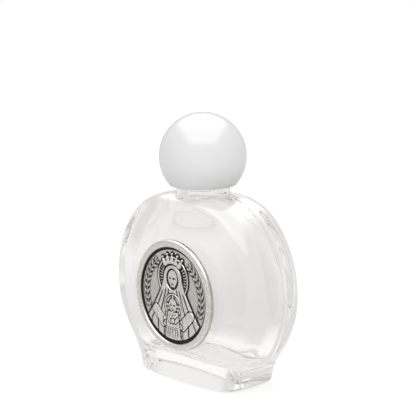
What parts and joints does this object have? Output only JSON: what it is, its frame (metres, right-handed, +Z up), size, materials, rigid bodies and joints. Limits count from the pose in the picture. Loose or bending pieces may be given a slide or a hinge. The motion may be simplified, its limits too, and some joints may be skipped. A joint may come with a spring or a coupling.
{
  "type": "holy water bottle",
  "caption": "Round flat flask of clear glass on a flat foot, with a ball-shaped screw cap and a round relief medal on its front face.",
  "frame": {"origin": "centre of the flat base, on the plane that the bottle stands on", "axes": "+Z up along the neck and the cap's screw axis, -Y out of the front face that carries the medal, +X to the right seen from the front"},
  "size_m": [0.057, 0.0242, 0.073],
  "materials": {
    "glass": "clear, fire-polished",
    "cap_plastic": "glossy white",
    "insert_plastic": "satin white",
    "plug_plastic": "natural, waxy",
    "liner_foam": "matt foam",
    "medal_metal": "antiqued silver plate, darkened in the recesses",
    "adhesive": "clear, slightly milky"
  },
  "bodies": {
    "bottle": {"glass_bottle": "glass", "pouring_plug": "plug_plastic", "medal": "medal_metal", "medal_adhesive": "adhesive"},
    "cap_lifter": {"sealing_liner": "liner_foam"},
    "cap": {"cap_ball_shell": "cap_plastic", "cap_thread_insert": "insert_plastic"}
  },
  "joints": [
    {"name": "cap_lift", "type": "slide", "parent": "bottle", "child": "cap_lifter", "axis": [0, 0, 1], "range_m": [0, 0.0032]},
    {"name": "cap_turn", "type": "hinge", "parent": "cap_lifter", "child": "cap", "pos_m": [0, 0, 0.06], "axis": [0, 0, 1], "range_deg": [0, 540]}
  ],
  "couplings": [
    {"joint": "cap_lift", "follows": "cap_turn", "m_per_rad": 0.00033423}
  ]
}
